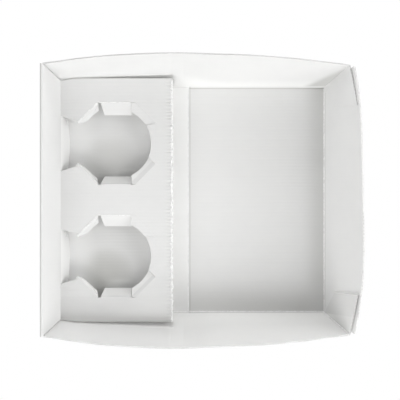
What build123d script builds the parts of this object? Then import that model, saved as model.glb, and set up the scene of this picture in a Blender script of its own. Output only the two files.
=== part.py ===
from build123d import *
import os
from math import cos, pi, radians, sin, tan

# A food and drink tray folded and glued from one blank of white micro-flute board.
# Millimetres, +Z up. The cup end is at -X, the food end at +X, the back wall at +Y.

# Board
board = 1.4
crushed_board = 0.7

# Floor, from crease to crease
floor_length = 256.4
floor_width = 223.0

# Lean of each wall from upright, in degrees
side_lean = 20.5
end_lean = 24.4
cup_lean = 21.4

# Heights above the ground
cup_rim_height = 56.0
shelf_height = 20.5
side_rim_cup_corner = 54.0
side_rim_top = 71.0
side_rim_food_corner = 50.5
end_rim_corner = 54.8
end_rim_shoulder = 64.2
end_rim_top = 69.4

# Along the rims, from the middle of the tray
side_top_offset = -10.0
end_corner_half = 129.2
end_shoulder_half = 97.0
end_foot_half = 111.0

# Cup shelf
shelf_depth = 110.3
shelf_width = 240.0
shelf_end_gap = 0.6
shelf_corner_taper = 14.0
flange_length = 16.0
flange_width = 225.0

# Cup holes
hole_from_fold = 54.8
hole_spacing = 111.4
hole_across = 78.0
hole_along = 81.4
hole_chamfer = 20.4
hole_cut_radius = 34.5
slit = 0.4
straight_flap_length = 13.6
straight_flap_taper = 3.0
flap_cut_inset = 3.7
flap_ring_inset = 4.0
food_flap_back_cut = 2.0
food_flap_front_cut = 8.0

# Wall tabs under the shelf
tab_width = 54.2
tab_taper = 4.6
tab_slot_reach = 15.6
tab_lap = 1.5

# Glue flaps
flap_depth = 20.5
flap_low_end = 20.0
flap_high_end = 63.5
flap_crown = 0.6
flap_standoff = 0.7
hidden_flap_depth = 30.0

# How far the walls are pushed out of flat
shelf_push_growth = 0.6
shelf_push_fade = 48.0
back_shelf_push = 6.3
back_rim_push = 1.4
front_shelf_push = 7.0
front_rim_push = 2.4
end_rim_twist = 1.1

# Bend of each cup hole flap below the shelf, in degrees, for the back and the front hole
back_hole_bends = {
    "back": 30, "front": 58, "food": 3,
    "back_food": 14, "front_food": 20, "back_cup": 55, "front_cup": 72,
}
front_hole_bends = {
    "back": 42, "front": 54, "food": 2,
    "back_food": 5, "front_food": 26, "back_cup": 58, "front_cup": 72,
}

# Places that follow from the sizes
cup_crease = -floor_length / 2
food_crease = floor_length / 2
side_crease = floor_width / 2
cutter_margin = 14.0
cutter_reach = 30.0
slab_top = side_rim_top + cutter_margin
slab_steps = 26
bow_height = side_rim_top * 0.6

side_slope = tan(radians(side_lean))
end_slope = tan(radians(end_lean))
cup_slope = tan(radians(cup_lean))
cup_across = board / cos(radians(cup_lean))
crushed_across = crushed_board / cos(radians(cup_lean))
end_across = board / cos(radians(end_lean))
shelf_fold_x = cup_crease - (shelf_height - board) * cup_slope + cup_across + crushed_across
shelf_right = shelf_fold_x + shelf_depth


def fold_bead(start, end, normal_a, normal_b, radius=board):
    """The rounded outside of a fold: a pie slice round the line from start to end."""
    start, end = Vector(*start), Vector(*end)
    along = (end - start).normalized()
    first, second = Vector(*normal_a), Vector(*normal_b)
    if first.cross(second).dot(along) < 0:
        first, second = second, first
    turn = first.get_angle(second)
    with BuildPart() as bead:
        with BuildSketch(Plane(origin=start, x_dir=first, z_dir=along)):
            with BuildLine():
                arc = CenterArc((0, 0), radius, 0, turn)
                Line((0, 0), arc @ 0)
                Line(arc @ 1, (0, 0))
            make_face()
        extrude(amount=(end - start).length)
    return bead.part


def wall_slab(frame, slope, half_length, push):
    """A leaning sheet of board with its rounded crease, bowed by push. The frame has x outwards."""
    heights = [board, (board + shelf_height) / 2, shelf_height, bow_height, slab_top]
    with BuildPart() as slab:
        for step in range(slab_steps + 1):
            along = half_length * (2 * step / slab_steps - 1)
            low_push, rim_push = push(along)
            inner = []
            for height in heights:
                if height < shelf_height:
                    low_share = sin(pi / 2 * (height - board) / (shelf_height - board))
                else:
                    low_share = cos(pi / 2 * (height - shelf_height) / (slab_top - shelf_height))
                rim_share = (height - board) / (side_rim_top - board)
                out = (height - board) * slope + low_push * low_share + rim_push * rim_share
                inner.append(Vector(out, height))
            steps = [inner[1] - inner[0]]
            steps += [b - a for a, b in zip(inner, inner[2:])]
            steps.append(inner[-1] - inner[-2])
            normals = [Vector(step.Y, -step.X).normalized() for step in steps]
            outer = [point + normal * board for point, normal in zip(inner, normals)]
            bend_middle = Vector(0, board) + (Vector(0, -1) + normals[0]).normalized() * board
            with BuildSketch(frame.offset(along)):
                with BuildLine():
                    Line((0, board), (0, 0))
                    ThreePointArc((0, 0), bend_middle, outer[0])
                    Spline(*outer)
                    Line(outer[-1], inner[-1])
                    Spline(*reversed(inner))
                make_face()
        loft(ruled=True)
    return slab.part


def side_wall(shelf_push, rim_push):
    """The back wall with its corner folds and glue flaps; the front wall is its mirror."""

    def push(along):
        """The board stands out most where the shelf ends, and not at the corners."""
        rim_share = max(0, 1 - (along / food_crease) ** 4)
        corner_x = shelf_fold_x - cup_across
        if along < shelf_right:
            share = max(along - corner_x, 0) / (shelf_right - corner_x)
            return shelf_push * share ** shelf_push_growth, rim_push * rim_share
        faded = min((along - shelf_right) / shelf_push_fade, 1)
        return shelf_push * (1 - faded * faded * (3 - 2 * faded)), rim_push * rim_share

    frame = Plane(origin=(0, side_crease, 0), x_dir=(0, 1, 0), z_dir=(1, 0, 0))
    lean = radians(side_lean)
    sheet = Plane(
        origin=(0, side_crease, board), x_dir=(1, 0, 0), z_dir=(0, -cos(lean), sin(lean))
    )
    outward = Vector(0, cos(lean), -sin(lean))
    slab = wall_slab(frame, side_slope, food_crease + cutter_reach, push)

    def corner(crease_x, slope, height):
        """A point on the wall's inner face at a corner fold."""
        rise = height - board
        return Vector(crease_x + rise * slope, side_crease + rise * side_slope, height)

    cup_foot_x = cup_crease + crushed_across
    cup_foot = corner(cup_foot_x, 0, board)
    cup_tip = corner(cup_foot_x, -cup_slope, side_rim_cup_corner)
    food_foot_x = food_crease - end_across
    standoff_slope = end_slope - flap_standoff / (side_rim_food_corner - board)
    food_foot = corner(food_foot_x, 0, board)
    food_tip = corner(food_foot_x, standoff_slope, side_rim_food_corner)
    rim_top = Vector(side_top_offset, (side_rim_top - board) / cos(lean))

    with BuildPart() as wall:
        add(slab)
        with BuildSketch(sheet):
            with BuildLine():
                left = sheet.to_local_coords(cup_tip)
                right = sheet.to_local_coords(food_tip)
                ThreePointArc((left.X, left.Y), (rim_top.X, rim_top.Y), (right.X, right.Y))
                Polyline(
                    (right.X, right.Y),
                    (food_foot.X, 0),
                    (food_foot.X, -2 * board),
                    (cup_foot.X, -2 * board),
                    (cup_foot.X, 0),
                    (left.X, left.Y),
                )
            make_face()
        extrude(amount=cutter_reach, both=True, mode=Mode.INTERSECT)

        # Food corner: the fold and the flap glued inside the end wall
        far_low = Vector(
            food_crease + (flap_low_end - board) * end_slope - end_across,
            side_crease - flap_depth,
            flap_low_end,
        )
        fold = food_tip - food_foot
        normal = (far_low - food_foot).cross(fold).normalized()
        outward_food = normal if normal.X > 0 else -normal
        flap_face = Plane(origin=food_foot, x_dir=fold, z_dir=outward_food)
        up_flap = normal.cross(Vector(0, 1, 0))
        far_high = far_low + up_flap * ((flap_high_end - flap_low_end) / up_flap.Z)
        low = flap_face.to_local_coords(far_low)
        high = flap_face.to_local_coords(far_high)
        crown = Vector((fold.length + high.X) / 2 + flap_crown, high.Y / 2)
        with BuildSketch(flap_face):
            with BuildLine():
                Polyline((fold.length, 0), (0, 0), (low.X, low.Y), (high.X, high.Y))
                ThreePointArc((high.X, high.Y), (crown.X, crown.Y), (fold.length, 0))
            make_face()
        extrude(amount=board)
        add(fold_bead(food_foot, food_tip, outward_food, outward))

        # Cup corner: the fold and the flap crushed between the two layers of the cup end
        cup_fold = cup_tip - cup_foot
        lean_cup = radians(cup_lean)
        outward_cup = Vector(-cos(lean_cup), 0, -sin(lean_cup))
        cup_face = Plane(origin=cup_foot, x_dir=(0, 1, 0), z_dir=outward_cup)
        tip = cup_face.to_local_coords(cup_tip)
        with BuildSketch(cup_face):
            with BuildLine():
                Polyline(
                    (0, 0),
                    (tip.X, tip.Y),
                    (-hidden_flap_depth, tip.Y),
                    (-hidden_flap_depth, tip.Y / 3),
                    close=True,
                )
            make_face()
        extrude(amount=crushed_board)
        add(fold_bead(cup_foot, cup_tip, outward_cup, outward, crushed_board))
    return wall.part


# Floor
with BuildPart() as floor_panel:
    with BuildSketch():
        Rectangle(floor_length, floor_width)
    extrude(amount=board)

# Back and front walls
with BuildPart() as back_wall:
    add(side_wall(back_shelf_push, back_rim_push))

with BuildPart() as front_wall:
    add(side_wall(front_shelf_push, front_rim_push).mirror(Plane.XZ))

# Food end wall, outside the glue flaps
with BuildPart() as end_wall:
    end_frame = Plane(origin=(food_crease, 0, 0), x_dir=(1, 0, 0), z_dir=(0, -1, 0))
    lean = radians(end_lean)
    end_sheet = Plane(
        origin=(food_crease, 0, board), x_dir=(0, 1, 0), z_dir=(cos(lean), 0, -sin(lean))
    )

    def end_push(along):
        """The rim leans in a little towards the back and out towards the front."""
        return 0, end_rim_twist * sin(pi * along / end_corner_half)

    add(wall_slab(end_frame, end_slope, end_corner_half + cutter_reach / 2, end_push))
    corner_rise = (end_rim_corner - board) / cos(lean)
    shoulder_rise = (end_rim_shoulder - board) / cos(lean)
    top_rise = (end_rim_top - board) / cos(lean)
    with BuildSketch(end_sheet):
        with BuildLine():
            Spline(
                (-end_corner_half, corner_rise),
                (-end_shoulder_half, shoulder_rise),
                (0, top_rise),
                (end_shoulder_half, shoulder_rise),
                (end_corner_half, corner_rise),
            )
            Polyline(
                (end_corner_half, corner_rise),
                (end_foot_half, 0),
                (end_foot_half, -2 * board),
                (-end_foot_half, -2 * board),
                (-end_foot_half, 0),
                (-end_corner_half, corner_rise),
            )
        make_face()
    extrude(amount=cutter_reach, both=True, mode=Mode.INTERSECT)

# Cup end: outer layer up from the floor, over the rim, and the inner layer down to the shelf
rim_radius = board + crushed_board / 2
cup_across_sheet = Vector(cos(radians(cup_lean)), 0, sin(radians(cup_lean)))
cup_up_sheet = Vector(-sin(radians(cup_lean)), 0, cos(radians(cup_lean)))
rim_rise = (cup_rim_height - board - rim_radius) / cos(radians(cup_lean))
shelf_fold_rise = (
    Vector(shelf_fold_x - cup_crease, 0, shelf_height - board).dot(cup_up_sheet)
)


def corner_half_width(rise):
    """Half the length of the cup end at a rise along its sheet, out to the corner folds."""
    return side_crease + rise * cos(radians(cup_lean)) * side_slope


with BuildPart() as cup_outer_layer:
    cup_section = Plane(
        origin=(cup_crease, 0, board), x_dir=cup_across_sheet, z_dir=(0, -1, 0)
    )
    inner_end = board + crushed_board
    with BuildSketch(cup_section):
        with BuildLine():
            outer_bend = CenterArc((0, 0), board, 180, 90 - cup_lean)
            Line(outer_bend @ 0, (-board, rim_rise))
            ThreePointArc(
                (-board, rim_rise), (crushed_board / 2, rim_rise + rim_radius), (inner_end, rim_rise)
            )
            Line((inner_end, rim_rise), (crushed_board, rim_rise))
            ThreePointArc(
                (crushed_board, rim_rise),
                (crushed_board / 2, rim_rise + crushed_board / 2),
                (0, rim_rise),
            )
            Line((0, rim_rise), (0, 0))
            Line((0, 0), outer_bend @ 1)
        make_face()
    extrude(amount=side_crease + slab_top, both=True)
    cup_sheet = Plane(origin=(cup_crease, 0, board), x_dir=(0, 1, 0), z_dir=cup_across_sheet)
    sheet_top = rim_rise + 2 * rim_radius
    with BuildSketch(cup_sheet):
        with BuildLine():
            Polyline(
                (-side_crease, -2 * board),
                (side_crease, -2 * board),
                (side_crease, 0),
                (corner_half_width(sheet_top), sheet_top),
                (-corner_half_width(sheet_top), sheet_top),
                (-side_crease, 0),
                close=True,
            )
        make_face()
    extrude(amount=cutter_reach, both=True, mode=Mode.INTERSECT)

with BuildPart() as cup_inner_layer:
    low_half = corner_half_width(shelf_fold_rise) - shelf_end_gap
    high_half = corner_half_width(rim_rise) - shelf_end_gap
    with BuildSketch(cup_sheet.offset(crushed_board)):
        with BuildLine():
            Polyline(
                (-low_half, shelf_fold_rise),
                (low_half, shelf_fold_rise),
                (high_half, rim_rise),
                (-high_half, rim_rise),
                close=True,
            )
        make_face()
    extrude(amount=board)

# Cup shelf
hinge_height = shelf_height - board
hole_x = shelf_fold_x + hole_from_fold
hole_half_across = hole_across / 2
hole_half_along = hole_along / 2
hole_side_x = hole_half_across - hole_chamfer
hole_side_y = hole_half_along - hole_chamfer
inner_ring = hole_cut_radius - flap_ring_inset


def flap_outlines():
    """Flat outline and fold line of each flap, measured from the middle of a cup hole."""
    edge_x, edge_y, side_x, side_y = hole_half_across, hole_half_along, hole_side_x, hole_side_y
    tip_y = edge_y - straight_flap_length
    cut_x = side_x - flap_cut_inset
    taper = straight_flap_taper
    back_cut = side_y - food_flap_back_cut
    front_cut = -side_y + food_flap_front_cut
    return {
        "back": (
            [(-cut_x - slit, edge_y), (cut_x - slit, edge_y), (cut_x, tip_y), (-cut_x + taper, tip_y)],
            (-cut_x - slit, edge_y), (cut_x - slit, edge_y), False,
        ),
        "front": (
            [(-cut_x - slit, -edge_y), (cut_x - slit, -edge_y),
             (cut_x - slit, -tip_y), (-cut_x + taper, -tip_y)],
            (cut_x - slit, -edge_y), (-cut_x - slit, -edge_y), False,
        ),
        "food": (
            [(edge_x, side_y - slit), (edge_x, -side_y + slit),
             (inner_ring, front_cut), (inner_ring, back_cut)],
            (edge_x, side_y - slit), (edge_x, -side_y + slit), True,
        ),
        "back_food": (
            [(cut_x, edge_y), (side_x, edge_y), (edge_x, side_y),
             (inner_ring, back_cut + slit), (cut_x, tip_y)],
            (side_x, edge_y), (edge_x, side_y), True,
        ),
        "front_food": (
            [(edge_x, -side_y), (side_x, -edge_y), (cut_x + slit, -edge_y),
             (cut_x, -tip_y), (inner_ring, front_cut - slit)],
            (edge_x, -side_y), (side_x, -edge_y), True,
        ),
        "back_cup": (
            [(-edge_x, side_y), (-side_x, edge_y), (-cut_x - taper, edge_y - taper), (-cut_x, tip_y),
             (-inner_ring, side_y)],
            (-edge_x, side_y), (-side_x, edge_y), True,
        ),
        "front_cup": (
            [(-side_x, -edge_y), (-edge_x, -side_y), (-inner_ring, -side_y),
             (-cut_x, -tip_y), (-cut_x - taper, -edge_y + taper)],
            (-side_x, -edge_y), (-edge_x, -side_y), True,
        ),
    }


def hole_flap(outline, fold_start, fold_end, round_edge, bend, hole_y):
    """One bent flap of a cup hole with the rounded top of its fold."""
    middle = Vector(hole_x, hole_y, hinge_height)
    start = middle + Vector(*fold_start)
    end = middle + Vector(*fold_end)
    with BuildPart() as flat:
        with BuildSketch(Plane.XY.offset(hinge_height)):
            with Locations((hole_x, hole_y)):
                Polygon(*outline, align=None)
                if round_edge:
                    Circle(hole_cut_radius, mode=Mode.SUBTRACT)
        extrude(amount=board)
    bent = flat.part.rotate(Axis(start, end - start), bend)
    top = Vector(0, 0, 1)
    bent_top = top.rotate(Axis((0, 0, 0), end - start), bend)
    with BuildPart() as flap:
        add(bent)
        add(fold_bead(start, end, top, bent_top))
    return flap.part


with BuildPart() as cup_shelf:
    half_width = shelf_width / 2
    with BuildSketch(Plane.XY.offset(shelf_height)):
        with BuildLine():
            Polyline(
                (shelf_fold_x, -low_half),
                (shelf_fold_x + shelf_corner_taper, -half_width),
                (shelf_right - board, -half_width),
                (shelf_right - board, half_width),
                (shelf_fold_x + shelf_corner_taper, half_width),
                (shelf_fold_x, low_half),
                close=True,
            )
        make_face()
    extrude(amount=-board)
    add(fold_bead(
        (shelf_fold_x, -low_half, shelf_height), (shelf_fold_x, low_half, shelf_height),
        (0, 0, -1), -cup_across_sheet,
    ))
    add(fold_bead(
        (shelf_right - board, -half_width, hinge_height),
        (shelf_right - board, half_width, hinge_height),
        (0, 0, 1), (1, 0, 0),
    ))
    for hole_y in (hole_spacing / 2, -hole_spacing / 2):
        with BuildSketch(Plane.XY.offset(shelf_height)):
            with BuildLine():
                Polyline(
                    (shelf_fold_x - 4 * board, hole_y + tab_width / 2),
                    (shelf_fold_x, hole_y + tab_width / 2),
                    (shelf_fold_x + tab_slot_reach, hole_y + tab_width / 2 - tab_taper),
                    (hole_x - hole_half_across, hole_y + hole_side_y),
                    (hole_x - hole_side_x, hole_y + hole_half_along),
                    (hole_x + hole_side_x, hole_y + hole_half_along),
                    (hole_x + hole_half_across, hole_y + hole_side_y),
                    (hole_x + hole_half_across, hole_y - hole_side_y),
                    (hole_x + hole_side_x, hole_y - hole_half_along),
                    (hole_x - hole_side_x, hole_y - hole_half_along),
                    (hole_x - hole_half_across, hole_y - hole_side_y),
                    (shelf_fold_x + tab_slot_reach, hole_y - tab_width / 2 + tab_taper),
                    (shelf_fold_x, hole_y - tab_width / 2),
                    (shelf_fold_x - 4 * board, hole_y - tab_width / 2),
                    close=True,
                )
            make_face()
        extrude(amount=-3 * board, mode=Mode.SUBTRACT)
    for hole_y, bends in ((hole_spacing / 2, back_hole_bends), (-hole_spacing / 2, front_hole_bends)):
        for name, (outline, fold_start, fold_end, round_edge) in flap_outlines().items():
            add(hole_flap(outline, fold_start, fold_end, round_edge, bends[name], hole_y))

# The two tabs that stay in the inner layer's plane below the shelf
with BuildPart() as wall_tabs:
    tab_face = Plane(
        origin=(shelf_fold_x, 0, shelf_height), x_dir=(0, 1, 0), z_dir=-cup_across_sheet
    )
    tab_side = tab_slot_reach + tab_lap
    tab_middle = hole_from_fold - hole_cut_radius
    for hole_y in (hole_spacing / 2, -hole_spacing / 2):
        with BuildSketch(tab_face):
            with BuildLine():
                sides = Polyline(
                    (hole_y - tab_width / 2 + tab_taper, tab_side),
                    (hole_y - tab_width / 2, 0),
                    (hole_y + tab_width / 2, 0),
                    (hole_y + tab_width / 2 - tab_taper, tab_side),
                )
                ThreePointArc(sides @ 1, (hole_y, tab_middle), sides @ 0)
            make_face()
        extrude(amount=board)

# Riser down to the floor and the flange glued on it
with BuildPart() as riser:
    with BuildSketch(Plane.XZ):
        with BuildLine():
            Polyline(
                (shelf_right - board, hinge_height),
                (shelf_right, hinge_height),
                (shelf_right, 2 * board),
                (shelf_right + flange_length, 2 * board),
                (shelf_right + flange_length, board),
                (shelf_right - board, board),
                close=True,
            )
        make_face()
    extrude(amount=shelf_width, both=True)
    with BuildSketch(Plane.YZ):
        with BuildLine():
            Polyline(
                (-shelf_width / 2, hinge_height),
                (shelf_width / 2, hinge_height),
                (flange_width / 2, 2 * board),
                (flange_width / 2, board),
                (-flange_width / 2, board),
                (-flange_width / 2, 2 * board),
                close=True,
            )
        make_face()
    extrude(amount=floor_length, both=True, mode=Mode.INTERSECT)

# Everything is one folded blank
with BuildPart() as tray_in_place:
    add(floor_panel.part)
    add(back_wall.part)
    add(front_wall.part)
    add(end_wall.part)
    add(cup_outer_layer.part)
    add(cup_inner_layer.part)
    add(cup_shelf.part)
    add(wall_tabs.part)
    add(riser.part)

box = tray_in_place.part.bounding_box()
centre = box.center()
with BuildPart() as folded_tray:
    add(tray_in_place.part.moved(Location((-centre.X, -centre.Y, -box.min.Z))))

folded_tray.part.label = "folded_tray"
os.makedirs("parts", exist_ok=True)
export_step(folded_tray.part, "parts/folded_tray.step")
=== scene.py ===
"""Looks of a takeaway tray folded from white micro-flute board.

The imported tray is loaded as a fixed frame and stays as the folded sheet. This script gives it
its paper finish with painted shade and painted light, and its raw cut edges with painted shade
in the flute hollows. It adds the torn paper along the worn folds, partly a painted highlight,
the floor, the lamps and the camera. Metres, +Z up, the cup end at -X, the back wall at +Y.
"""

import logging
import math
from dataclasses import dataclass, field
from enum import Enum
from functools import cached_property
from typing import Union

import bmesh
import bpy
from mathutils import Matrix, Vector, noise


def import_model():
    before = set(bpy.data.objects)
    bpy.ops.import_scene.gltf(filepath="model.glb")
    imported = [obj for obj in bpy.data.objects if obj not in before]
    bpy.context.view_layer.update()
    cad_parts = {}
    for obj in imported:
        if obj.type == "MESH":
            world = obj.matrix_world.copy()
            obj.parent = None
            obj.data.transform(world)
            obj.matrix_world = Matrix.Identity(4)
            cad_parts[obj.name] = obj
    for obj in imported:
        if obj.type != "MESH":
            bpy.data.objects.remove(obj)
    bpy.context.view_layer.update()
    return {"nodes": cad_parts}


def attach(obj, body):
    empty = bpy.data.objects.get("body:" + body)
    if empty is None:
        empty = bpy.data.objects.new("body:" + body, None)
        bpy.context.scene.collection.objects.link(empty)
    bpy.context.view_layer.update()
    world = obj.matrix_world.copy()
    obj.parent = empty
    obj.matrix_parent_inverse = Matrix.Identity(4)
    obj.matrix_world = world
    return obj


log = logging.getLogger("tray")

BOARD = 0.0014
FLUTE_PITCH = 0.0033
FLOOR_TOP = 0.0014
SHELF_TOP = 0.0205

Number = Union[int, float]
Colour = tuple[float, float, float, float]
Ramp = tuple[float, float]
Stripe = tuple[float, float, float]
Inputs = dict[Union[int, str], object]


class Face(Enum):
    """What a face of the folded blank is."""

    PAPER = 0
    CUT_EDGE = 1


class Socket:
    """An output of a shader node, with the arithmetic that expressions need."""

    def __init__(self, tree: bpy.types.NodeTree, link: bpy.types.NodeSocket) -> None:
        """Keep the tree that new nodes go into, and the output they read."""
        self.tree = tree
        self.link = link

    def _maths(self, operation: str, *values: "Operand") -> "Socket":
        """Add one Math node.

        Args:
            operation: The Math node's operation.
            values: Its inputs in order, sockets or numbers.

        Returns:
            The node's output.
        """
        inputs = dict(enumerate(values))
        return add_node(self.tree, "ShaderNodeMath", {"operation": operation}, inputs)

    def __add__(self, other: "Operand") -> "Socket":
        """Sum."""
        return self._maths("ADD", self, other)

    def __radd__(self, other: "Operand") -> "Socket":
        """Sum with the number first."""
        return self._maths("ADD", other, self)

    def __sub__(self, other: "Operand") -> "Socket":
        """Difference."""
        return self._maths("SUBTRACT", self, other)

    def __rsub__(self, other: "Operand") -> "Socket":
        """Difference with the number first."""
        return self._maths("SUBTRACT", other, self)

    def __mul__(self, other: "Operand") -> "Socket":
        """Product."""
        return self._maths("MULTIPLY", self, other)

    def __rmul__(self, other: "Operand") -> "Socket":
        """Product with the number first."""
        return self._maths("MULTIPLY", other, self)

    def __pow__(self, other: "Operand") -> "Socket":
        """Power."""
        return self._maths("POWER", self, other)

    def __abs__(self) -> "Socket":
        """Size without its sign."""
        return self._maths("ABSOLUTE", self)

    def sine(self) -> "Socket":
        """Sine of an angle in radians."""
        return self._maths("SINE", self)

    def least(self, other: "Operand") -> "Socket":
        """The smaller of two values."""
        return self._maths("MINIMUM", self, other)

    def most(self, other: "Operand") -> "Socket":
        """The larger of two values."""
        return self._maths("MAXIMUM", self, other)

    def step(self, low: Number, high: Number) -> "Socket":
        """Rise smoothly from 0 to 1.

        Args:
            low: The value where the rise starts.
            high: The value where it ends.

        Returns:
            The share between them, eased at both ends.
        """
        settings = {"interpolation_type": "SMOOTHSTEP"}
        inputs = {"Value": self, "From Min": low, "From Max": high}
        return add_node(self.tree, "ShaderNodeMapRange", settings, inputs)

    def drop(self, low: Number, high: Number) -> "Socket":
        """Fall smoothly from 1 to 0 between two values."""
        return 1 - self.step(low, high)

    def band(self, middle: Number, half_width: Number, soft: Number) -> "Socket":
        """A stripe of 1 round a value.

        Args:
            middle: The value at the stripe's middle.
            half_width: Half the stripe's width.
            soft: How far its edges fade.

        Returns:
            1 in the stripe, falling to 0 beyond it.
        """
        return abs(self - middle).drop(half_width, half_width + soft)


Operand = Union[Socket, int, float]
Paint = Union[Socket, Colour]


def fill(tree: bpy.types.NodeTree, node: bpy.types.Node, inputs: Inputs) -> None:
    """Fill a node's inputs.

    Args:
        tree: The tree that the node is in.
        node: The node.
        inputs: Values or sockets by input name or number.
    """
    for name, value in inputs.items():
        if isinstance(value, Socket):
            tree.links.new(value.link, node.inputs[name])
        else:
            node.inputs[name].default_value = value


def add_node(
    tree: bpy.types.NodeTree,
    kind: str,
    settings: Union[dict[str, object], None] = None,
    inputs: Union[Inputs, None] = None,
    output: Union[int, str] = 0,
) -> Socket:
    """Add one node, set it up and fill its inputs.

    Args:
        tree: The material's node tree.
        kind: The node's type.
        settings: The node's own options, set before its inputs.
        inputs: Values or sockets by input name or number.
        output: Which output to give back.

    Returns:
        That output.
    """
    node = tree.nodes.new(kind)
    for name, value in (settings or {}).items():
        setattr(node, name, value)
    fill(tree, node, inputs or {})
    return Socket(tree, node.outputs[output])


def mix_colours(share: Socket, first: Paint, second: Paint) -> Socket:
    """Blend two colours.

    Args:
        share: 0 gives the first, 1 the second.
        first: A socket or four numbers.
        second: A socket or four numbers.

    Returns:
        The blended colour.
    """
    inputs = {0: share, 6: first, 7: second}
    return add_node(share.tree, "ShaderNodeMix", {"data_type": "RGBA"}, inputs, 2)


def noise_value(place: Socket, scale: float, detail: float, roughness: float = 0.55) -> Socket:
    """Read a soft noise.

    Args:
        place: Where to read it.
        scale: Its turns a metre.
        detail: How many finer layers it has.
        roughness: How much they count.

    Returns:
        A value from 0 to 1.
    """
    inputs = {"Vector": place, "Scale": scale, "Detail": detail, "Roughness": roughness}
    return add_node(place.tree, "ShaderNodeTexNoise", {"noise_dimensions": "3D"}, inputs)


def bump(relief: Socket, strength: float) -> Socket:
    """Turn a height in metres into a normal.

    Args:
        relief: The height.
        strength: How much of it shows.

    Returns:
        The normal.
    """
    inputs = {"Strength": strength, "Distance": 1.0, "Height": relief}
    return add_node(relief.tree, "ShaderNodeBump", {}, inputs)


def split_vector(vector: Socket) -> list[Socket]:
    """Take a vector apart.

    Args:
        vector: The vector.

    Returns:
        Its X, Y and Z.
    """
    first = add_node(vector.tree, "ShaderNodeSeparateXYZ", {}, {0: vector})
    return [Socket(vector.tree, output) for output in first.link.node.outputs]


def new_material(name: str) -> tuple[bpy.types.Material, bpy.types.NodeTree, bpy.types.Node]:
    """Start a material.

    Args:
        name: Its name.

    Returns:
        The material, its node tree and its shader.
    """
    material = bpy.data.materials.new(name)
    material.use_nodes = True
    return material, material.node_tree, material.node_tree.nodes["Principled BSDF"]


def seen_directly(tree: bpy.types.NodeTree) -> Socket:
    """Tell the camera's and mirrored rays from those that carry light.

    Args:
        tree: The node tree that asks.

    Returns:
        1 for a camera or glossy ray, else 0.
    """
    camera = add_node(tree, "ShaderNodeLightPath", output="Is Camera Ray")
    return camera.most(add_node(tree, "ShaderNodeLightPath", output="Is Glossy Ray"))


@dataclass(frozen=True)
class Places:
    """Where a point of the paper lies, and which way it faces.

    A mask that several tones share is made once, when it is first asked for.
    """

    along: Socket
    across: Socket
    height: Socket
    facing_x: Socket
    facing_y: Socket
    facing_z: Socket

    @classmethod
    def read(cls, place: Socket) -> "Places":
        """Take the object's own coordinates and the surface's direction apart.

        Args:
            place: The object coordinates.

        Returns:
            All six values.
        """
        normal = add_node(place.tree, "ShaderNodeNewGeometry", output="Normal")
        return cls(*split_vector(place), *split_vector(normal))

    @cached_property
    def low(self) -> Socket:
        """1 on the floor and the flange that is glued to it, else 0."""
        return self.height.drop(0.0030, 0.0037)

    @cached_property
    def level(self) -> Socket:
        """1 on faces that lie flat, else 0."""
        return abs(self.facing_z).step(0.90, 0.97)

    @cached_property
    def at_rim(self) -> Socket:
        """1 along the folded rim of the cup end, else 0."""
        return self.along.drop(-0.1515, -0.1495) * self.height.step(0.0515, 0.0530)

    @cached_property
    def on_shelf(self) -> Socket:
        """1 on the shelf's upper side up to its fold, else 0."""
        return self.height.band(SHELF_TOP, 0.0006, 0.0003) * self.along.drop(-0.0275, -0.027)

    @cached_property
    def inside(self) -> Socket:
        """1 on faces that look up, as all of the tray's inside does, else 0."""
        return self.facing_z.step(-0.05, 0.10)


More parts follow.
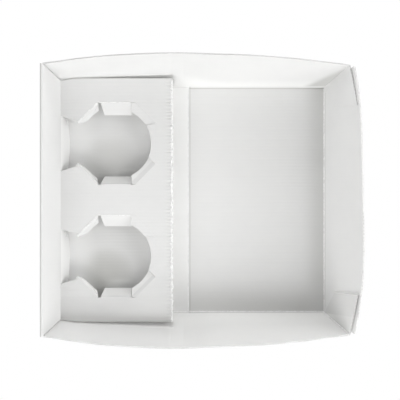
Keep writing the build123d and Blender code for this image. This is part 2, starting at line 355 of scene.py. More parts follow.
@dataclass(frozen=True)
class PaintedShadeTones:
    """Painted shade: dark crease lines and soft shade that the photo shows inside the tray, kept
    as paper colour.

    Places are in metres. A ramp runs from its first value to its second. A stripe gives its
    middle, its half width and how far its edges fade. Shares say how dark each tone is.
    """

    past_flange: Ramp = (-0.014, -0.010)
    back_line: Stripe = (0.11203, 0.0004, 0.0005)
    back_line_share: float = 0.6
    flange_foot: Stripe = (-0.0114, 0.0003, 0.0008)
    flange_foot_share: float = 0.3
    flange_end: Stripe = (0.1131, 0.0003, 0.0006)
    flange_width: Stripe = (-0.0205, 0.007, 0.001)
    flange_end_share: float = 0.5
    rim_line: Stripe = (-0.1549, 0.0003, 0.0003)
    rim_share: float = 0.5
    floor_front: Ramp = (-0.1105, -0.0740)
    floor_right: Ramp = (0.0980, 0.1226)
    floor_overlap: float = 1.9
    floor_share: float = 0.32
    back_hole: tuple[float, float, float] = (-0.092, 0.038, 0.45)
    front_hole: tuple[float, float, float] = (-0.096, -0.076, 0.8)
    hole_reach: float = 0.0011
    shelf_side: Ramp = (0.1195, 0.1203)
    shelf_start: float = -0.150
    shelf_shade_slope: float = 0.044
    shelf_shade_fade: Ramp = (-0.0004, 0.0010)
    shelf_shade_height: Stripe = (0.0235, 0.0125, 0.001)
    shelf_shade_end: Ramp = (-0.029, -0.0275)
    shelf_shade_share: float = 0.20
    flap_foot: tuple[float, float] = (0.1228, -0.111)
    flap_slant: float = 2.57
    flap_slant_fade: Ramp = (-0.0008, 0.0)
    flap_side: Ramp = (-0.0905, -0.0897)
    flap_start: Ramp = (0.1225, 0.1235)
    flap_share: float = 0.17
    against_axis: Ramp = (-0.6, -0.4)
    corner_start: float = 0.096
    corner_slope: float = 1.08
    corner_fade: Ramp = (-0.009, 0.004)
    back_wall: Ramp = (0.1128, 0.1145)
    corner_share: float = 0.5
    shelf_front: Ramp = (-0.1195, -0.1080)
    shelf_front_share: float = 0.40
    cup_wall_facing: Ramp = (0.5, 0.7)
    cup_wall_end: Ramp = (-0.136, -0.133)
    cup_corner: Ramp = (-0.134, -0.108)
    cup_corner_share: float = 0.22

    def mask(self, at: Places) -> Socket:
        """Add all tones up.

        Args:
            at: Where the point lies.

        Returns:
            How dark the paper is there, from 0 to 1.
        """
        tone = self._lines(at) + self._floor_edges(at) * self.floor_share
        tone = tone + self._hole_floors(at) * at.low
        tone = tone + self._beside_shelf(at) * self.shelf_shade_share
        tone = tone + self._front_flap(at) * self.flap_share
        tone = tone + self.back_corner(at) * self.corner_share
        tone = tone + self.shelf_edge(at) * self.shelf_front_share
        tone = tone + self._cup_corner(at) * self.cup_corner_share
        return tone.least(1) * at.inside

    def back_corner(self, at: Places) -> Socket:
        """Shade the slanting half of the back wall next to the food end.

        Args:
            at: Where the point lies.

        Returns:
            1 in the shade, else 0.
        """
        above = at.height - (at.along - self.corner_start) * self.corner_slope
        shade = above.drop(*self.corner_fade) * at.facing_y.drop(*self.against_axis)
        return shade * at.across.step(*self.back_wall)

    def shelf_edge(self, at: Places) -> Socket:
        """Shade the shelf towards its front edge."""
        return at.on_shelf * at.across.drop(*self.shelf_front) * at.level

    def _lines(self, at: Places) -> Socket:
        """Paint dark shade lines along the back crease, the flange and the rim.

        Args:
            at: Where the point lies.

        Returns:
            The sum of the lines.
        """
        back = at.across.band(*self.back_line) * at.low * at.along.step(*self.past_flange)
        foot = at.along.band(*self.flange_foot) * at.low
        end = at.across.band(*self.flange_end) * at.along.band(*self.flange_width) * at.low
        rim = at.along.band(*self.rim_line) * at.at_rim
        lines = back * self.back_line_share + foot * self.flange_foot_share
        return lines + end * self.flange_end_share + rim * self.rim_share

    def _floor_edges(self, at: Places) -> Socket:
        """Shade the open floor towards the front wall and the food end wall.

        Args:
            at: Where the point lies.

        Returns:
            1 next to either wall, and little in their corner, which the lamps leave dark.
        """
        front = at.across.drop(*self.floor_front)
        right = at.along.step(*self.floor_right)
        both = front + right - front * right * self.floor_overlap
        return both * at.low * at.along.step(*self.past_flange)

    def _hole_floors(self, at: Places) -> Socket:
        """Shade a round patch of floor below each cup hole.

        Args:
            at: Where the point lies.

        Returns:
            How dark each patch is, most in its middle and 0 round it.
        """
        patches = []
        for middle_x, middle_y, share in (self.back_hole, self.front_hole):
            distance = (at.along - middle_x) ** 2 + (at.across - middle_y) ** 2
            patches.append(distance.drop(0.0, self.hole_reach) * share)
        return patches[0] + patches[1]

    def _beside_shelf(self, at: Places) -> Socket:
        """Shade the long walls in a wedge beside the shelf.

        Args:
            at: Where the point lies.

        Returns:
            1 in the wedge, else 0.
        """
        reach = (at.along - self.shelf_start) * self.shelf_shade_slope
        outward = abs(at.across) - self.shelf_side[0] - reach
        wedge = abs(at.across).step(*self.shelf_side) * outward.drop(*self.shelf_shade_fade)
        wedge = wedge * at.height.band(*self.shelf_shade_height)
        return wedge * at.along.drop(*self.shelf_shade_end)

    def _front_flap(self, at: Places) -> Socket:
        """Paint shade on the front glue flap on the food end wall.

        Args:
            at: Where the point lies.

        Returns:
            1 on the flap, else 0.
        """
        start_x, start_y = self.flap_foot
        slant = at.across - start_y - (at.along - start_x) * self.flap_slant
        flap = slant.drop(*self.flap_slant_fade) * at.across.drop(*self.flap_side)
        return flap * at.facing_x.drop(*self.against_axis) * at.along.step(*self.flap_start)

    def _cup_corner(self, at: Places) -> Socket:
        """Shade the cup end wall towards its front corner.

        Args:
            at: Where the point lies.

        Returns:
            1 at the corner, else 0.
        """
        wall = at.facing_x.step(*self.cup_wall_facing) * at.along.drop(*self.cup_wall_end)
        return wall * at.across.drop(*self.cup_corner)


@dataclass(frozen=True)
class PaintedLightTones:
    """Painted light: paler paper that the photo shows inside the tray, kept as paper colour.

    Ramps, stripes and shares are as in the dark tones.
    """

    flange: Stripe = (-0.0205, 0.0078, 0.0004)
    flange_fade: Ramp = (-0.110, -0.060)
    flange_shares: tuple[float, float] = (0.14, 0.66)
    open_floor: Ramp = (-0.016, -0.012)
    floor_right: Ramp = (0.080, 0.122)
    floor_front: Ramp = (-0.109, -0.060)
    floor_share: float = 0.20
    tab: Stripe = (-0.1355, 0.0036, 0.0006)
    tab_height: Stripe = (0.0110, 0.0085, 0.0008)
    tab_share: float = 0.55
    shelf_end: Ramp = (-0.034, -0.029)
    shelf_underside: Ramp = (0.0190, 0.0200)
    gap: Ramp = (0.1120, 0.1135)
    hole_right: Ramp = (-0.075, -0.045)
    hole_left: Ramp = (-0.128, -0.100)
    strip_start: Ramp = (-0.100, -0.080)
    strip_middles: tuple[float, float] = (0.0200, -0.0910)
    strip_width: tuple[float, float] = (0.0040, 0.0120)
    hole_shares: tuple[float, float] = (0.25, 0.75)
    flap_middles: tuple[float, float] = (0.0235, -0.0878)
    flap_width: tuple[float, float] = (0.018, 0.002)
    flap_height: Stripe = (0.0125, 0.0062, 0.0004)
    flap_reach: Stripe = (-0.085, 0.040, 0.003)
    flap_share: float = 0.45
    glue_flap_edge: Stripe = (-0.0898, 0.0009, 0.0009)
    glue_flap_start: Ramp = (0.130, 0.132)
    glue_flap_foot: Ramp = (0.018, 0.020)
    glue_flap_share: float = 0.4
    front_wall: Ramp = (-0.1128, -0.1114)
    front_foot: Ramp = (0.006, 0.030)
    front_fall: float = 0.7
    front_share: float = 0.62
    back_wall: Ramp = (0.1130, 0.1145)
    back_foot: Ramp = (0.006, 0.022)
    back_share: float = 0.35
    shelf_front: Ramp = (-0.119, -0.080)
    shelf_right: Ramp = (-0.110, -0.040)
    shelf_share: float = 0.65

    def mask(self, at: Places, dark: PaintedShadeTones) -> Socket:
        """Add all tones up.

        Args:
            at: Where the point lies.
            dark: The dark tones, which some pale ones stay clear of.

        Returns:
            How pale the paper is there, from 0 to 1.
        """
        tone = self._flange(at) + self._open_floor(at) * self.floor_share
        # Painted light on the tabs that hang below the shelf.
        tab = at.along.band(*self.tab) * at.height.band(*self.tab_height)
        tone = tone + tab * self.tab_share + self._below_shelf(at)
        tone = tone + self._hole_flaps(at) * self.flap_share
        # Painted light along the front glue flap's far edge, over the shade line there.
        edge = at.across.band(*self.glue_flap_edge) * at.along.step(*self.glue_flap_start)
        tone = tone + edge * at.height.step(*self.glue_flap_foot) * self.glue_flap_share
        tone = tone + self._wall_feet(at, dark)
        tone = tone + self._shelf_corner(at, dark) * self.shelf_share
        return tone.least(1) * at.inside

    def _flange(self, at: Places) -> Socket:
        """Paint light on the glued flange, least at its front end.

        Args:
            at: Where the point lies.

        Returns:
            The tone's own share.
        """
        least, more = self.flange_shares
        strength = least + at.across.step(*self.flange_fade) * more
        return at.along.band(*self.flange) * at.low * strength

    def _open_floor(self, at: Places) -> Socket:
        """Paint light on the open floor away from the front and the food end walls.

        Args:
            at: Where the point lies.

        Returns:
            1 on the light part, else 0.
        """
        away = at.along.drop(*self.floor_right) * at.across.step(*self.floor_front)
        return away * at.along.step(*self.open_floor) * at.low

    def _below_shelf(self, at: Places) -> Socket:
        """Paint light into the shaded gaps beside the shelf, and on the floor below it round the
        cup holes.

        Args:
            at: Where the point lies.

        Returns:
            The tone's own share.
        """
        below = at.along.drop(*self.shelf_end) * at.height.drop(*self.shelf_underside)
        sides = at.along.step(*self.hole_right).most(at.along.drop(*self.hole_left))
        strips = self._either(at, self.strip_middles, self.strip_width)
        sides = sides.most(strips * at.along.step(*self.strip_start))
        least, more = self.hole_shares
        return below * (abs(at.across).step(*self.gap) + at.low * (least + sides * more))

    def _hole_flaps(self, at: Places) -> Socket:
        """Paint light on the bent flaps on the front side of each cup hole.

        Args:
            at: Where the point lies.

        Returns:
            1 on the flaps, else 0.
        """
        flaps = self._either(at, self.flap_middles, self.flap_width)
        flaps = flaps * at.height.band(*self.flap_height)
        return flaps * at.along.band(*self.flap_reach)

    def _wall_feet(self, at: Places, dark: PaintedShadeTones) -> Socket:
        """Paint light on the long walls next to their creases, past the shelf.

        Args:
            at: Where the point lies.
            dark: The dark tones, whose corner shade stays dark.

        Returns:
            The tone's own share.
        """
        front = 1 - at.height.step(*self.front_foot) * self.front_fall
        front = front * at.across.drop(*self.front_wall)
        back = at.across.step(*self.back_wall) * at.height.drop(*self.back_foot)
        back = back * (1 - dark.back_corner(at))
        feet = front * self.front_share + back * self.back_share
        return feet * at.along.step(*self.shelf_end)

    def _shelf_corner(self, at: Places, dark: PaintedShadeTones) -> Socket:
        """Paint light on the shelf's front food-side corner.

        Args:
            at: Where the point lies.
            dark: The dark tones, whose shelf edge stays dark.

        Returns:
            1 in the corner, else 0.
        """
        corner = at.on_shelf * at.across.drop(*self.shelf_front)
        return corner * at.along.step(*self.shelf_right) * (1 - dark.shelf_edge(at))

    @staticmethod
    def _either(at: Places, middles: tuple[float, float], width: tuple[float, float]) -> Socket:
        """Draw the same stripe across the tray at both cup holes.

        Args:
            at: Where the point lies.
            middles: The stripe's middle at the back hole and at the front one.
            width: Its half width and how far its edges fade.

        Returns:
            1 in either stripe, else 0.
        """
        back, front = (at.across.band(middle, *width) for middle in middles)
        return back.most(front)


@dataclass(frozen=True)
class PaperFinish:
    """White uncoated paper over micro-flute board: faint flute lines, fibre, painted shade and
    painted light.
    """

    name: str = "white_board"
    white: Colour = (0.80, 0.80, 0.788, 1.0)
    grey: Colour = (0.735, 0.735, 0.735, 1.0)
    # The next two colours are painted light and painted shade.
    painted_light: Colour = (0.96, 0.96, 0.945, 1.0)
    painted_shade: Colour = (0.42, 0.419, 0.395, 1.0)
    roughness: float = 0.86
    roughness_spread: float = 0.06
    specular: float = 0.3
    glow: float = 0.5
    wander_scale: float = 14.0
    fibre_scale: float = 900.0
    mottle_scale: float = 60.0
    streak_stretch: tuple[float, float, float] = (9, 330, 9)
    streak_range: Ramp = (0.35, 0.72)
    streak_floor: float = 0.25
    flute_wander: float = 1.4
    end_wall: Ramp = (0.75, 0.88)
    end_wall_flutes: float = 0.5
    crushed: Stripe = (-0.0305, 0.0015, 0.004)
    crushed_height: Ramp = (0.018, 0.020)
    mottle_tone: float = 0.45
    fibre_tone: float = 0.2
    base_tone: float = 0.15
    flute_tones: tuple[float, float] = (0.09, 0.7)
    flute_height: float = 0.00005
    crushed_growth: float = 5
    fibre_height: float = 0.00002
    sag_height: float = 0.0005
    bump_strength: float = 0.9

    def make(self) -> bpy.types.Material:
        """Build the material.

        Returns:
            The material.
        """
        material, tree, shader = new_material(self.name)
        place = add_node(tree, "ShaderNodeTexCoord", output="Object")
        at = Places.read(place)
        wander = noise_value(place, self.wander_scale, 2.0)
        fibre = noise_value(place, self.fibre_scale, 4.0)
        mottle = noise_value(place, self.mottle_scale, 3.0)
        flute = (at.across * (2 * math.pi / FLUTE_PITCH) + wander * self.flute_wander).sine()
        flute = flute * self._fluted(place, at)
        crushed = at.along.band(*self.crushed) * at.height.step(*self.crushed_height)

        even, extra = self.flute_tones
        shade = mottle * self.mottle_tone + fibre * self.fibre_tone
        shade = shade + flute * (even + crushed * extra) + self.base_tone
        paper = mix_colours(shade.most(0).least(1), self.white, self.grey)
        # Painted shade: the dark tones mix the paper towards a shaded grey.
        dark = PaintedShadeTones()
        paper = mix_colours(dark.mask(at), paper, self.painted_shade)
        relief = flute * (1 + crushed * self.crushed_growth) * self.flute_height
        relief = relief + fibre * self.fibre_height + wander * self.sag_height
        # Painted light: the light tones mix the paper towards near white.
        fill(tree, shader, {
            "Base Color": mix_colours(PaintedLightTones().mask(at, dark), paper, self.painted_light),
            "Roughness": self.roughness + mottle * self.roughness_spread,
            "Normal": bump(relief, self.bump_strength),
            "Specular IOR Level": self.specular,
            "Subsurface Weight": self.glow,
            "Subsurface Radius": (1.0, 1.0, 1.0),
            "Subsurface Scale": BOARD,
        })
        return material

    def _fluted(self, place: Socket, at: Places) -> Socket:
        """Tell how strongly the flutes show through the paper.

        Args:
            place: The object coordinates.
            at: Where the point lies.

        Returns:
            A share, in streaks that run along the tray, and 0 on the folded rim.
        """
        stretch = {"Vector": place, "Scale": self.streak_stretch}
        drawn = add_node(place.tree, "ShaderNodeMapping", {}, stretch)
        streak = noise_value(drawn, 1.0, 2.0).step(*self.streak_range)
        faces = at.level + abs(at.facing_x).step(*self.end_wall) * self.end_wall_flutes
        streaked = self.streak_floor + streak * (1 - self.streak_floor)
        return faces.least(1) * streaked * (1 - at.at_rim)


@dataclass(frozen=True)
class CutEdgeFinish:
    """The raw edge of the board, where the flutes show between the two facings, with painted shade
    in their hollows.
    """

    name: str = "cut_edge"
    facing: Colour = (0.72, 0.72, 0.715, 1.0)
    # Painted shade in the flute hollows.
    hollow_shade: Colour = (0.64, 0.64, 0.63, 1.0)
    roughness: float = 0.92
    pulp_scale: float = 700.0
    hollow_range: Ramp = (0.35, 0.75)
    pulp_height: float = 0.00004
    wave_height: float = 0.00003
    bump_strength: float = 0.8

    def make(self) -> bpy.types.Material:
        """Build the material.

        Returns:
            The material.
        """
        material, tree, shader = new_material(self.name)
        place = add_node(tree, "ShaderNodeTexCoord", output="Object")
        across = split_vector(place)[1]
        pulp = noise_value(place, self.pulp_scale, 3.0)
        wave = (across * (2 * math.pi / FLUTE_PITCH)).sine() * 0.5 + 0.5
        wave = wave * 0.5 + pulp * 0.5
        relief = pulp * self.pulp_height + wave * self.wave_height
        fill(tree, shader, {
            "Base Color": mix_colours(wave.step(*self.hollow_range), self.facing, self.hollow_shade),
            "Roughness": self.roughness,
            "Normal": bump(relief, self.bump_strength),
        })
        return material


@dataclass(frozen=True)
class WornFoldHighlightFinish:
    """Paper that cracked and fluffed up where it was folded over, whiter than the rest, partly its
    own colour and partly a painted highlight.
    """

    name: str = "worn_fold_highlight"
    # Partly a painted highlight: the fluffed paper is whiter than the sheet.
    fluff: Colour = (0.96, 0.96, 0.955, 1.0)
    pressed: Colour = (0.84, 0.84, 0.835, 1.0)
    roughness: float = 0.9
    roughness_spread: float = 0.08
    patch_scale: float = 260.0
    fluff_scale: float = 1800.0
    pressed_range: Ramp = (0.4, 0.65)
    fluff_height: float = 0.00008
    patch_height: float = 0.0001
    bump_strength: float = 0.8

    def make(self) -> bpy.types.Material:
        """Build the material.

        Returns:
            The material.
        """
        material, tree, shader = new_material(self.name)
        place = add_node(tree, "ShaderNodeTexCoord", output="Object")
        patches = noise_value(place, self.patch_scale, 3.0)
        fluff = noise_value(place, self.fluff_scale, 4.0)
        relief = fluff * self.fluff_height + patches * self.patch_height
        fill(tree, shader, {
            "Base Color": mix_colours(patches.step(*self.pressed_range), self.fluff, self.pressed),
            "Roughness": self.roughness + fluff * self.roughness_spread,
            "Normal": bump(relief, self.bump_strength),
        })
        return material


@dataclass(frozen=True)
class BackdropFinish:
    """A floor that bounces grey light on the tray and looks plain white to the camera."""

    name: str = "white_backdrop"
    tone: Colour = (0.45, 0.45, 0.45, 1.0)
    shown: Colour = (1, 1, 1, 1)

    def make(self) -> bpy.types.Material:
        """Build the material.

        Returns:
            The material.
        """
        material, tree, shader = new_material(self.name)
        fill(tree, shader, {"Base Color": self.tone, "Roughness": 1.0})
        light = {"Color": self.shown, "Strength": 1.0}
        glow = add_node(tree, "ShaderNodeEmission", {}, light)
        choice = {0: seen_directly(tree), 1: Socket(tree, shader.outputs[0]), 2: glow}
        mixed = add_node(tree, "ShaderNodeMixShader", {}, choice)
        fill(tree, tree.nodes["Material Output"], {"Surface": mixed})
        return material


@dataclass
class FoldedTray:
    """The folded sheet as the frame has it, dressed in paper."""

    node: bpy.types.Object
    paper: PaperFinish = field(default_factory=PaperFinish)
    edge: CutEdgeFinish = field(default_factory=CutEdgeFinish)
    edge_width: float = 0.0017
    weld: float = 1e-6
    flat_angle: float = math.radians(6)
    sharp_angle: float = math.radians(78)
    rim_from_x: float = 0.1500
    rim_from_z: float = 0.0515

    def dress(self) -> None:
        """Give the sheet its paper and its cut edges their raw core."""
        mesh = self.node.data
        mesh.materials.clear()
        mesh.materials.append(self.paper.make())
        mesh.materials.append(self.edge.make())
        cut_faces = self._cut_faces()
        for index in cut_faces:
            mesh.polygons[index].material_index = Face.CUT_EDGE.value
        log.info("folded tray: %d faces, %d on cut edges", len(mesh.polygons), len(cut_faces))

    def _cut_faces(self) -> list[int]:
        """Find the narrow faces between the two sides of the board.

        Returns:
            The numbers of the mesh's faces that lie on a cut edge.
        """
        sheet = bmesh.new()
        sheet.from_mesh(self.node.data)
        number = sheet.faces.layers.int.new("number")
        for face in sheet.faces:
            face[number] = face.index
        bmesh.ops.remove_doubles(sheet, verts=sheet.verts, dist=self.weld)
        sheet.normal_update()
        narrow = {face for face in sheet.faces if self._is_narrow(face)}
        found = [face[number] for face in narrow if self._is_cut(face, narrow)]
        sheet.free()
        return found

    def _is_narrow(self, face: bmesh.types.BMFace) -> bool:
        """Tell whether a face is no wider than the board is thick."""
        longest = max(edge.calc_length() for edge in face.edges)
        return 2 * face.calc_area() / longest < self.edge_width

    def _is_cut(self, face: bmesh.types.BMFace, narrow: set[bmesh.types.BMFace]) -> bool:
        """Tell whether a narrow face is set off sharply and lies on no rounded fold.

        Args:
            face: The face in question.
            narrow: Every narrow face of the sheet.

        Returns:
            True on a cut edge.
        """
        middle = face.calc_center_median()
        if middle.x < -self.rim_from_x and middle.z > self.rim_from_z:
            return False
        sharp_edges = 0
        for edge in face.edges:
            if len(edge.link_faces) != 2:
                continue
            other = next(item for item in edge.link_faces if item is not face)
            turn = face.normal.angle(other.normal, 0.0)
            if turn > self.sharp_angle:
                sharp_edges += 1
            elif other not in narrow or turn > self.flat_angle:
                return False
        return sharp_edges > 0


@dataclass
class CreaseBead:
    """The little ridge that the inner paper makes where the board is folded."""

    name: str
    start: Vector
    end: Vector
    radius: float = 0.0006
    wobble: float = 0.15
    pitch: float = 0.0011
    sides: int = 8
    end_taper: float = 0.35
    ring_seed: float = 0.83
    place_seed: tuple[float, float] = (90, 70)
    shift_seed: float = 0.7

    def build(self, paper: bpy.types.Material) -> bpy.types.Object:
        """Make the ridge and lay it along its fold.

        Args:
            paper: Its finish.

        Returns:
            The finished piece.
        """
        shape = bmesh.new()
        rings = self._grow_rings(shape)
        self._crumple(shape, rings)
        bmesh.ops.contextual_create(shape, geom=rings[0])
        bmesh.ops.contextual_create(shape, geom=rings[-1])
        bmesh.ops.recalc_face_normals(shape, faces=shape.faces)
        for face in shape.faces:
            face.smooth = True
        mesh = bpy.data.meshes.new(self.name)
        shape.to_mesh(mesh)
        shape.free()
        turn = (self.end - self.start).to_track_quat("Z", "Y").to_matrix().to_4x4()
        mesh.transform(Matrix.Translation(self.start) @ turn)
        mesh.materials.append(paper)
        piece = bpy.data.objects.new(self.name, mesh)
        bpy.context.scene.collection.objects.link(piece)
        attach(piece, "root")
        log.info("%s: %d faces", self.name, len(mesh.polygons))
        return piece

    def _grow_rings(self, shape: bmesh.types.BMesh) -> list[list[bmesh.types.BMVert]]:
        """Draw a circle and pull it out ring by ring.

        Args:
            shape: The mesh that is being built.

        Returns:
            The points of each ring, in order.
        """
        length = (self.end - self.start).length
        steps = max(int(length / self.pitch), 2)
        circle = bmesh.ops.create_circle(shape, segments=self.sides, radius=self.radius)
        ring = circle["verts"]
        edges = list({edge for vert in ring for edge in vert.link_edges})
        rings = [ring]
        for _ in range(steps):
            grown = bmesh.ops.extrude_edge_only(shape, edges=edges)["geom"]
            ring = [item for item in grown if isinstance(item, bmesh.types.BMVert)]
            edges = [item for item in grown if isinstance(item, bmesh.types.BMEdge)]
            edges = [edge for edge in edges if all(vert in ring for vert in edge.verts)]
            bmesh.ops.translate(shape, verts=ring, vec=(0, 0, length / steps))
            rings.append(ring)
        return rings

    def _crumple(self, shape: bmesh.types.BMesh, rings: list[list[bmesh.types.BMVert]]) -> None:
        """Swell and shift each ring by noise, and taper both ends.

        The swelling is the same in every run. The shift isn't, because Blender offsets its
        vector noise by the clock.

        Args:
            shape: The mesh that is being built.
            rings: The points of each ring, in order.
        """
        seed_x, seed_y = self.place_seed
        for number, ring in enumerate(rings):
            seed = Vector((number * self.ring_seed, self.start.x * seed_x, self.end.y * seed_y))
            swell = 1 + self.wobble * 2 * noise.noise(seed)
            if number in (0, len(rings) - 1):
                swell *= self.end_taper
            shift = noise.noise_vector(seed * self.shift_seed) * self.radius * self.wobble * 2
            shift.z = 0
            middle = Matrix.Translation((0, 0, -ring[0].co.z))
            bmesh.ops.scale(shape, verts=ring, vec=(swell, swell, 1), space=middle)
            bmesh.ops.translate(shape, verts=ring, vec=shift)


@dataclass
class FoldBeads:
    """Every crease of the tray that shows as a raised line of paper."""

    flange_edge: float = -0.0125
    flange_top: float = 0.0025
    flange_half: float = 0.1115
    lip_offset: float = 0.0006
    floor_right: float = 0.12284
    floor_back: float = 0.11203
    floor_front: float = -0.11097
    back_inset: float = 0.0008
    floor_sink: float = 0.0001
    shelf_right: float = -0.02849
    shelf_half: float = 0.1195
    shelf_inset: float = 0.0008
    shelf_sink: float = 0.0005
    rim: tuple[float, float] = (-0.1538, 0.0548)
    rim_ends: tuple[float, float] = (-0.1302, 0.1312)
    corner_foot: tuple[float, float] = (0.1210, -0.1107)
    corner_lift: float = 0.0003
    corner_top: tuple[float, float, float] = (0.1424, -0.1289, 0.0503)
    flap_foot: tuple[float, float, float] = (0.1309, -0.0899, 0.0195)
    flap_top: tuple[float, float, float] = (0.1510, -0.0899, 0.0632)
    hole_x: float = -0.08399
    hole_back: float = 0.05623
    hole_front: float = -0.05517
    hole_half_x: float = 0.0390
    hole_half_y: float = 0.0407
    hole_side_x: float = 0.0186
    hole_side_y: float = 0.0203
    hinge_sink: float = 0.0002
    hinge_cut: float = 0.0042
    tab_root: tuple[float, float] = (-0.1386, 0.0271)
    tab_sink: float = 0.0003
    tab_side: tuple[float, float, float] = (0.0046, -0.0033, -0.0113)
    tab_tip: tuple[float, float, float] = (0.0010, -0.0055, -0.0024)

    def build(self, worn: bpy.types.Material, paper: bpy.types.Material) -> None:
        """Lay all beads.

        Args:
            worn: The finish of a cracked fold, partly a painted highlight.
            paper: The sheet's own paper.
        """
        for bead in self._long_folds() + self._hole_glints():
            bead.build(worn)
        foot, top = Vector(self.flap_foot), Vector(self.flap_top)
        CreaseBead("front_flap_edge", foot, top, radius=0.0009, wobble=0.06).build(paper)

    def _long_folds(self) -> list[CreaseBead]:
        """Make the ridges along the folds of the panels.

        Returns:
            The beads.
        """
        low = FLOOR_TOP - self.floor_sink
        top = SHELF_TOP - self.shelf_sink
        lip = self.flange_edge - self.lip_offset
        fold = self.shelf_right - self.shelf_inset
        rim_x, rim_z = self.rim
        rim_front, rim_back = self.rim_ends
        return [
            CreaseBead(
                "food_end_crease", Vector((self.floor_right, self.floor_front, low)),
                Vector((self.floor_right, self.floor_back - self.back_inset, low)),
                radius=0.0009, wobble=0.12,
            ),
            CreaseBead(
                "front_crease", Vector((self.flange_edge, self.floor_front, low)),
                Vector((self.floor_right, self.floor_front, low)), radius=0.0008, wobble=0.12,
            ),
            CreaseBead(
                "riser_fold", Vector((fold, -self.shelf_half, top)),
                Vector((fold, self.shelf_half, top)), radius=0.0010, wobble=0.6,
            ),
            CreaseBead(
                "flange_lip", Vector((lip, -self.flange_half, self.flange_top)),
                Vector((lip, self.flange_half, self.flange_top)), radius=0.0005, wobble=0.15,
            ),
            CreaseBead(
                "cup_rim_fold", Vector((rim_x, rim_front, rim_z)),
                Vector((rim_x, rim_back, rim_z)), radius=0.0005, wobble=0.08,
            ),
            CreaseBead(
                "flange_front_end", Vector((self.shelf_right, self.floor_front, self.flange_top)),
                Vector((lip, self.floor_front, self.flange_top)), radius=0.0007, wobble=0.12,
            ),
            CreaseBead(
                "front_corner_fold", Vector((*self.corner_foot, low + self.corner_lift)),
                Vector(self.corner_top), radius=0.0008, wobble=0.1,
            ),
        ]

    def _hole_glints(self) -> list[CreaseBead]:
        """Make the hinge lines and tab edges on the back side of each cup hole, as beads of worn
        paper that are partly a painted highlight.

        Returns:
            The beads, four for each hole.
        """
        glints = []
        for place, middle in (("back", self.hole_back), ("front", self.hole_front)):
            level = SHELF_TOP - self.hinge_sink
            left = Vector((self.hole_x - self.hole_side_x, middle + self.hole_half_y, level))
            right = left + Vector((self.hole_side_x * 2 - self.hinge_cut, 0, 0))
            corner = Vector((self.hole_x - self.hole_half_x, middle + self.hole_side_y, level))
            root_x, root_y = self.tab_root
            hang = Vector((root_x, middle + root_y, SHELF_TOP - self.tab_sink))
            free = hang + Vector(self.tab_side)
            tip = free + Vector(self.tab_tip)
            for name, start, end, radius, wobble in (
                ("hole_back_hinge", left, right, 0.0005, 0.35),
                ("hole_slant_hinge", corner, left, 0.0005, 0.35),
                ("tab_side", hang, free, 0.0007, 0.25),
                ("tab_tip", free, tip, 0.0006, 0.25),
            ):
                glints.append(CreaseBead(f"{place}_{name}", start, end, radius, wobble))
        return glints


@dataclass(frozen=True)
class SoftBox:
    """One soft square lamp of the ring round the table."""

    azimuth: float
    elevation: float
    power: float


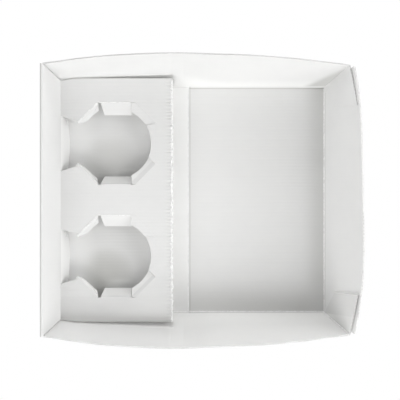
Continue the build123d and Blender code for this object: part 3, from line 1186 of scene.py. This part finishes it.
@dataclass
class Studio:
    """The white floor, the soft lamps and the camera straight above.

    The lamps' powers, in watts, were solved so that the paper's greys match the photo.
    """

    camera_x: float = -0.001364
    camera_y: float = 0.000531
    camera_height: float = 1.5
    floor_size: float = 6.0
    floor_drop: float = 0.0002
    image_half: float = 0.2
    lamp_distance: float = 2.0
    lamp_size: float = 1.2
    lamps: tuple[SoftBox, ...] = (
        SoftBox(0, 15, 9.3), SoftBox(45, 15, 11.0), SoftBox(90, 15, 12.8), SoftBox(135, 15, 4.6),
        SoftBox(225, 15, 7.9), SoftBox(315, 15, 5.9),
        SoftBox(0, 40, 13.8), SoftBox(135, 40, 5.3), SoftBox(225, 40, 14.8),
        SoftBox(270, 40, 13.5), SoftBox(315, 40, 4.1), SoftBox(135, 75, 1.5),
    )

    def lay_floor(self) -> None:
        """Lay the backdrop just under the tray."""
        shape = bmesh.new()
        bmesh.ops.create_grid(shape, x_segments=1, y_segments=1, size=self.floor_size / 2)
        mesh = bpy.data.meshes.new("backdrop")
        shape.to_mesh(mesh)
        shape.free()
        mesh.transform(Matrix.Translation((0, 0, -self.floor_drop)))
        backdrop = bpy.data.objects.new("backdrop", mesh)
        bpy.context.scene.collection.objects.link(backdrop)
        mesh.materials.append(BackdropFinish().make())

    def hang_lamp(self, box: SoftBox) -> None:
        """Hang one soft lamp so that it looks at the tray.

        Args:
            box: The lamp's place and power.
        """
        turn, rise = math.radians(box.azimuth), math.radians(box.elevation)
        level = math.cos(rise)
        place = Vector((math.cos(turn) * level, math.sin(turn) * level, math.sin(rise)))
        place *= self.lamp_distance
        name = f"soft_box_{box.elevation:.0f}_{box.azimuth:.0f}"
        lamp = bpy.data.lights.new(name, "AREA")
        lamp.shape = "SQUARE"
        lamp.size = self.lamp_size
        lamp.energy = box.power
        holder = bpy.data.objects.new(name, lamp)
        holder.location = place
        holder.rotation_euler = (-place).to_track_quat("-Z", "Y").to_euler()
        holder.visible_camera = False
        bpy.context.scene.collection.objects.link(holder)

    def light(self) -> None:
        """Hang the lamps, and leave the world white only where it is looked at."""
        world = bpy.data.worlds.new("studio")
        world.use_nodes = True
        tree = world.node_tree
        through = add_node(tree, "ShaderNodeLightPath", output="Is Transmission Ray")
        seen = seen_directly(tree).most(through)
        fill(tree, tree.nodes["Background"], {"Color": (1, 1, 1, 1), "Strength": seen})
        bpy.context.scene.world = world
        for box in self.lamps:
            self.hang_lamp(box)
        log.info("studio: %d soft boxes", len(self.lamps))

    def set_camera(self) -> None:
        """Look straight down, so the photograph's frame is filled as it was."""
        camera = bpy.data.cameras.new("overhead")
        camera.sensor_fit = "HORIZONTAL"
        camera.angle = 2 * math.atan(self.image_half / self.camera_height)
        holder = bpy.data.objects.new("overhead", camera)
        holder.location = (self.camera_x, self.camera_y, self.camera_height)
        bpy.context.scene.collection.objects.link(holder)
        bpy.context.scene.camera = holder


def main() -> None:
    """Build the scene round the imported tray."""
    logging.basicConfig(level=logging.INFO)
    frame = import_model()
    tray = FoldedTray(frame["nodes"]["folded_tray"])
    tray.dress()
    FoldBeads().build(WornFoldHighlightFinish().make(), tray.node.data.materials[0])
    studio = Studio()
    studio.lay_floor()
    studio.light()
    studio.set_camera()
    bpy.context.scene.view_settings.view_transform = "Standard"
    log.info("camera, lamps and floor set")


if __name__ == "__main__":
    main()
